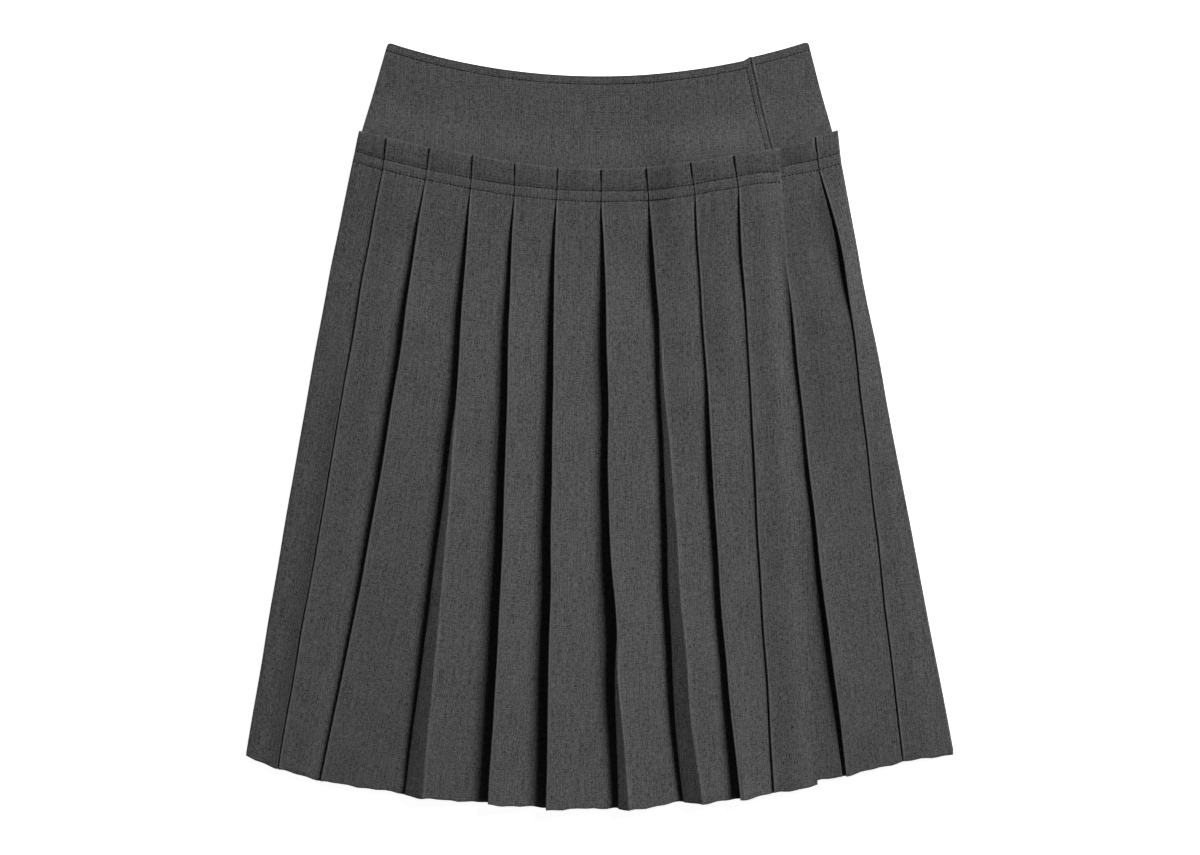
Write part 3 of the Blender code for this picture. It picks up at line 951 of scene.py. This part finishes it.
# 0 where the yoke shows, 1 where it lies tucked under the header
def tucked(radius):
    return smooth((radius - garment["stitchRadius"] - garment["headerTop"] - 3.0) / 8.0)


def wrapEdge(radius):
    return radius * math.sin(math.radians(yokes["wrapAngle"])) - yokes["tuckInset"] * tucked(radius)


def hiddenYokeEdge(radius):
    return radius * math.sin(math.radians(yokes["hiddenAngle"]))


# The waist edge steps up at the wrap, and the back's lies a little lower
def waistOffset(layer, x):
    step = smooth((x - yokes["wrapWaistX"] + yokes["wrapWaistStep"]) / (2.0 * yokes["wrapWaistStep"]))
    drop = yokes["backWaistDrop"] if layer == 0 else 0.0
    return drop - yokes["wrapWaistStep"] * step


# A corner rounded off by tipRadius: how far the side stands back at a distance below the waist edge
def tipInset(distance):
    left = max(yokes["tipRadius"] - distance, 0.0)
    return yokes["tipRadius"] - math.sqrt(yokes["tipRadius"] ** 2 - left * left)


def yokeColumns(start, end, count):
    inner = np.linspace(start + edgeOffsets[-1], end - edgeOffsets[-1], count)
    return [start + o for o in edgeOffsets[:-1]] + list(inner) + [end - o for o in reversed(edgeOffsets[:-1])]


# What stitches and turned edges do to a yoke's surface: at the waist, along the wrap edge, and at the side
# seams, where front and back meet
def yokeRelief(layer, distance, fromStart, fromEnd, tuck):
    relief, close = 0.0, 0.0
    if layer > 0:
        relief += yokes["seamDepth"] * trough(distance - yokes["topstitch"])
        relief += yokes["waistBead"] * hump(distance, 0.8)
    if layer == 2:
        relief += yokes["seamDepth"] * trough(fromEnd - yokes["topstitch"])
        relief += yokes["edgeRidge"] * hump(fromEnd - 4.2, 1.6)
        relief += yokes["edgeBead"] * hump(fromEnd - 1.0, 0.7)
        relief -= yokes["edgeGroove"] * hump(fromEnd - yokes["edgeStitch"], 0.6)
        relief -= yokes["tuckDrop"] * tuck * smooth(1.0 - fromEnd / 16.0)
    else:
        close += hump(fromEnd, yokes["sideCloseWidth"])
    if layer != 1:
        close += hump(fromStart, yokes["sideCloseWidth"])
    return relief + close * yokes["sideClose"] * (1.0 if layer == 0 else -1.0)


def yokeRows(layer, startEdge, endEdge):
    depth = garment["stitchRadius"] + yokes["tuck"] - garment["waistRadius"]
    distances = list(waistOffsets) + list(np.arange(25.0, depth - 2.0, 5.0)) + [depth]
    width = endEdge(garment["stitchRadius"]) - startEdge(garment["stitchRadius"])
    count = math.ceil((width - 2.0 * edgeOffsets[-1]) / yokes["column"])
    rows = []
    for distance in distances:
        radius = garment["waistRadius"] + distance
        fade = 1.0 - smooth(distance / yokes["stepFade"])
        inset = tipInset(distance)
        start = startEdge(radius) + inset
        end = endEdge(radius) - inset * (yokes["wrapTip"] if layer == 2 else 1.0)
        row = []
        for x in yokeColumns(start, end, count):
            r = radius + fade * waistOffset(layer, x)
            relief = yokeRelief(layer, distance, x - start, end - x, tucked(radius))
            row.append((x, ringY(x, r), yokeHeight(layer, x, r) + relief))
        rows.append(row)
    points = np.array(rows)
    return uneven(points), points[..., :2].copy(), distances


def yokePiece(name, layer, startEdge, endEdge):
    points, cloth, distances = yokeRows(layer, startEdge, endEdge)
    return clothPiece(name, points, cloth, garment["yokeWall"]), points, distances


yokeBack, yokeBackPoints, yokeDistances = yokePiece("yokeBack", 0, leftEdge, rightEdge)
yokeUnder, yokeUnderPoints, yokeDistances = yokePiece("yokeUnder", 1, hiddenYokeEdge, rightEdge)
yokeFront, yokeFrontPoints, yokeDistances = yokePiece("yokeFront", 2, leftEdge, wrapEdge)
print("yokes made")

declareCloth(pleatsBack, "pleats_back")
declareCloth(pleatsUnder, "pleats_under")
declareCloth(pleatsFront, "pleats_front")
declareCloth(yokeBack, "yoke_back")
declareCloth(yokeUnder, "yoke_under")
declareCloth(yokeFront, "yoke_front")

# Topstitching

stitching = {
    "pitch": 3.1,
    "length": 2.8,
    "radius": 0.48,
    "spread": 0.12,
    "seed": 11,
    "sink": 0.2,
    "backLift": 0.25,
    "afterFold": 0.9,
    "beforeFold": 0.6,
    "headerStep": 3.0,
    "waistStep": 4.0,
}


def stitchTree():
    tree = bpy.data.node_groups.new("topstitchRow", "GeometryNodeTree")
    face = tree.interface
    face.new_socket("Geometry", in_out="INPUT", socket_type="NodeSocketGeometry")
    for name in ("pitch", "length", "radius", "spread"):
        face.new_socket(name, in_out="INPUT", socket_type="NodeSocketFloat")
    face.new_socket("seed", in_out="INPUT", socket_type="NodeSocketInt")
    face.new_socket("Geometry", in_out="OUTPUT", socket_type="NodeSocketGeometry")
    given = addNode(tree, "NodeGroupInput").outputs
    path = addNode(tree, "GeometryNodeMeshToCurve", {"Mesh": given["Geometry"]}).outputs["Curve"]
    placing = {"Curve": path, "Length": given["pitch"]}
    places = addNode(tree, "GeometryNodeResampleCurve", placing, mode="LENGTH")
    heading = addNode(tree, "GeometryNodeInputTangent").outputs["Tangent"]
    turned = addNode(tree, "FunctionNodeAlignRotationToVector", {"Vector": heading}, axis="Z")
    stitch = addNode(tree, "GeometryNodeMeshUVSphere", {"Segments": 6, "Rings": 4, "Radius": 1.0})
    half = mathNode(tree, "MULTIPLY", given["length"], 0.5)
    size = addNode(tree, "ShaderNodeCombineXYZ", {"X": given["radius"], "Y": given["radius"], "Z": half})
    least, most = (mathNode(tree, operation, 1.0, given["spread"]) for operation in ("SUBTRACT", "ADD"))
    limits = {"Min": least, "Max": most, "Seed": given["seed"]}
    varied = addNode(tree, "FunctionNodeRandomValue", limits, data_type="FLOAT").outputs["Value"]
    sizing = {0: size.outputs["Vector"], "Scale": varied}
    scale = addNode(tree, "ShaderNodeVectorMath", sizing, operation="SCALE").outputs["Vector"]
    row = {"Points": places.outputs["Curve"], "Instance": stitch.outputs["Mesh"]}
    row.update({"Rotation": turned.outputs["Rotation"], "Scale": scale})
    stitches = addNode(tree, "GeometryNodeInstanceOnPoints", row).outputs["Instances"]
    real = addNode(tree, "GeometryNodeRealizeInstances", {"Geometry": stitches}).outputs["Geometry"]
    sewn = addNode(tree, "GeometryNodeSetMaterial", {"Geometry": real, "Material": thread})
    addNode(tree, "NodeGroupOutput", {"Geometry": sewn.outputs["Geometry"]})
    return tree


def stitchPiece(name, paths, tree):
    points, edges = [], []
    for path in paths:
        edges += [(len(points) + i, len(points) + i + 1) for i in range(len(path) - 1)]
        points += [tuple(c * mm for c in point) for point in path]
    mesh = bpy.data.meshes.new(name)
    mesh.from_pydata(points, edges, [])
    piece = newObject(name, mesh)
    rows = piece.modifiers.new("topstitch", "NODES")
    rows.node_group = tree
    for socket in tree.interface.items_tree:
        if socket.item_type == "SOCKET" and socket.in_out == "INPUT" and socket.name in stitching:
            value = stitching[socket.name]
            if socket.name in ("pitch", "length", "radius"):
                value *= mm
            rows[socket.identifier] = value
    finished = finishMesh(piece)
    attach(piece, "root")
    print(f"{name}: {len(finished.polygons)} faces")


# Rows over the pleats: one path for each pleat face between two folded edges
def headerPaths(panel, cuts, drop, fromX, toX):
    drops = np.array(panel["drops"])
    limits = [fromX] + [x for x in (lineX(f, drop) for f in panel["folds"]) if fromX < x < toX] + [toX]
    paths = []
    for left, right in zip(limits, limits[1:]):
        count = max(int((right - left) / stitching["headerStep"]), 2)
        xs = np.linspace(left + stitching["afterFold"], right - stitching["beforeFold"], count)
        rows = drop + (np.zeros(len(xs)) if panel["mirrored"] else np.array([rowShift(x) for x in xs]))
        nearest = [int(np.abs(drops - row).argmin()) for row in rows]
        heights = {index: softFloor(cuts[index], xs) for index in set(nearest)}
        zs = np.array([heights[index][i] for i, index in enumerate(nearest)])
        path = np.array([xs, [ringY(x, garment["stitchRadius"] + row) for x, row in zip(xs, rows)], zs]).T
        path[:, 2] += 0.5 * garment["pleatWall"] + 0.5 * stitching["radius"]
        if panel["mirrored"]:
            path[:, 0] = -path[:, 0]
            path[:, 2] = backFlip(drop) - path[:, 2] + stitching["backLift"]
        paths.append(uneven(path).tolist())
    return paths


def yokePath(layer, places):
    path = []
    for x, r in places:
        lie = 0.5 * garment["yokeWall"] + 0.3 * stitching["radius"] - stitching["sink"]
        path.append((x, ringY(x, r), yokeHeight(layer, x, r) + lie))
    return uneven(np.array(path)).tolist()


def waistPlaces(layer, fromX, toX):
    radius = garment["waistRadius"] + yokes["topstitch"]
    fade = 1.0 - smooth(yokes["topstitch"] / yokes["stepFade"])
    xs = np.linspace(fromX, toX, max(int(abs(toX - fromX) / stitching["waistStep"]), 2))
    return [(x, radius + fade * waistOffset(layer, x)) for x in xs]


nearWaist = garment["waistRadius"] + 8.0


def backWaistPath():
    path = np.array(yokePath(0, waistPlaces(0, leftEdge(nearWaist) + 3.0, rightEdge(nearWaist) - 3.0)))
    path[:, 2] = stitching["backLift"]
    return path.tolist()


# A row along the wrap edge, as far as it shows over the header
def wrapPlaces(inset, below):
    shownEnd = garment["stitchRadius"] + garment["headerTop"] + 3.0
    return [(wrapEdge(r) - inset, r) for r in np.linspace(garment["waistRadius"] + below, shownEnd, 24)]


wrapRow = wrapPlaces(yokes["topstitch"], yokes["topstitch"])
edgeRow = wrapPlaces(yokes["edgeStitch"], 3.0)
frontWaist = waistPlaces(2, leftEdge(nearWaist) + 2.0, wrapRow[0][0])
underWaist = waistPlaces(1, wrapEdge(nearWaist) + 2.0, rightEdge(nearWaist) - 2.0)

tree = stitchTree()
yokePlaces = [(2, frontWaist), (2, wrapRow), (2, edgeRow), (1, underWaist)]
stitchPiece("yokeStitching", [yokePath(layer, places) for layer, places in yokePlaces], tree)
stitchPiece("yokeBackStitching", [backWaistPath()], tree)
frontRows, underRows, backRows = [], [], []
for drop in (garment["upperStitch"], 0.0):
    left, free, right = lineX(leftSide, drop), lineX(freeEdge, drop), lineX(rightSide, drop)
    frontRows += headerPaths(frontPanel, frontCuts, drop, left + 2.0, free - 1.4)
    underRows += headerPaths(underPanel, underCuts, drop, free, right - 2.0)
    first, last = lineX(backStart, drop) + 2.0, lineX(backEnd, drop) - 2.0
    backRows += headerPaths(backPanel, backCuts, drop, first, last)
stitchPiece("frontPleatStitching", frontRows, tree)
stitchPiece("underPleatStitching", underRows, tree)
stitchPiece("backPleatStitching", backRows, tree)
print("topstitching made")

# Studio

studio = {
    "keyElevation": 35.0,
    "keyAzimuth": 45.0,
    "keyDistance": 6.0,
    "keySize": 3.0,
    "keyPower": 575.0,
    "fill": 0.06,
    "paper": "#e8e8e8",
    "paperGlow": 0.93,
    "sweepRadius": 12.0,
    "rimPoints": 48,
    "cameraHeight": 2.4,
    "cameraY": -0.0020,
    "frameWidth": 1.08,
}


# A rolled paper sweep lit from behind: the eye gets an even white with hardly a shadow. The dome over it
# keeps the background as pale in a low view, and only the camera sees it.
def paperSweep(name, glow):
    material = newMaterial(name)
    looks = {"Base Color": linear(studio["paper"]), "Roughness": 0.95, "Specular IOR Level": 0.1}
    looks.update({"Emission Color": (1.0, 1.0, 1.0, 1.0), "Emission Strength": glow})
    surface(material.node_tree, looks)
    return material


def studioFloor():
    radius, around = studio["sweepRadius"], studio["rimPoints"]
    turns = np.linspace(0.0, 2.0 * math.pi, around, False)
    rim = [(radius * math.cos(a), radius * math.sin(a)) for a in turns]
    floorMesh = bpy.data.meshes.new("floor")
    floorMesh.from_pydata([(x, y, -0.6 * mm) for x, y in rim], [], [tuple(range(around))])
    floorMesh.materials.append(paperSweep("glowingPaperSweep", studio["paperGlow"]))
    floor = newObject("floor", floorMesh)

    domeMesh = bpy.data.meshes.new("dome")
    levels = [math.radians(a) for a in (0.0, 18.0, 36.0, 54.0, 72.0)]
    points = [(x * math.cos(a), y * math.cos(a), radius * math.sin(a) - mm) for a in levels for x, y in rim]
    faces = []
    for low in range(0, around * (len(levels) - 1), around):
        for i in range(around):
            ahead = (i + 1) % around
            faces.append((low + i, low + ahead, low + around + ahead, low + around + i))
    domeMesh.from_pydata(points, [], faces)
    domeMesh.materials.append(paperSweep("brightPaperDome", 1.0))
    dome = newObject("dome", domeMesh)
    dome.visible_diffuse = dome.visible_glossy = dome.visible_transmission = dome.visible_shadow = False


def studioLight():
    lamp = bpy.data.lights.new("softKey", "AREA")
    lamp.shape = "DISK"
    lamp.size = studio["keySize"]
    lamp.energy = studio["keyPower"]
    key = newObject("softKey", lamp)
    rise, heading = math.radians(studio["keyElevation"]), math.radians(studio["keyAzimuth"])
    reach = studio["keyDistance"]
    key.location = (
        reach * math.cos(rise) * math.cos(heading),
        reach * math.cos(rise) * math.sin(heading),
        reach * math.sin(rise),
    )
    key.rotation_euler = (0.0, 0.5 * math.pi - rise, heading)
    key.visible_camera = False
    world = bpy.data.worlds.new("studio")
    bpy.context.scene.world = world
    world.use_nodes = True
    world.node_tree.nodes["Background"].inputs["Color"].default_value = (1.0, 1.0, 1.0, 1.0)
    world.node_tree.nodes["Background"].inputs["Strength"].default_value = studio["fill"]


def studioCamera():
    lens = bpy.data.cameras.new("camera")
    lens.sensor_width = 36.0
    lens.lens = lens.sensor_width * studio["cameraHeight"] / studio["frameWidth"]
    lens.clip_end = 60.0
    camera = newObject("camera", lens)
    camera.location = (0.0, studio["cameraY"], studio["cameraHeight"])
    bpy.context.scene.camera = camera


studioFloor()
studioLight()
studioCamera()
bpy.context.scene.view_settings.view_transform = "Standard"
print("studio made")
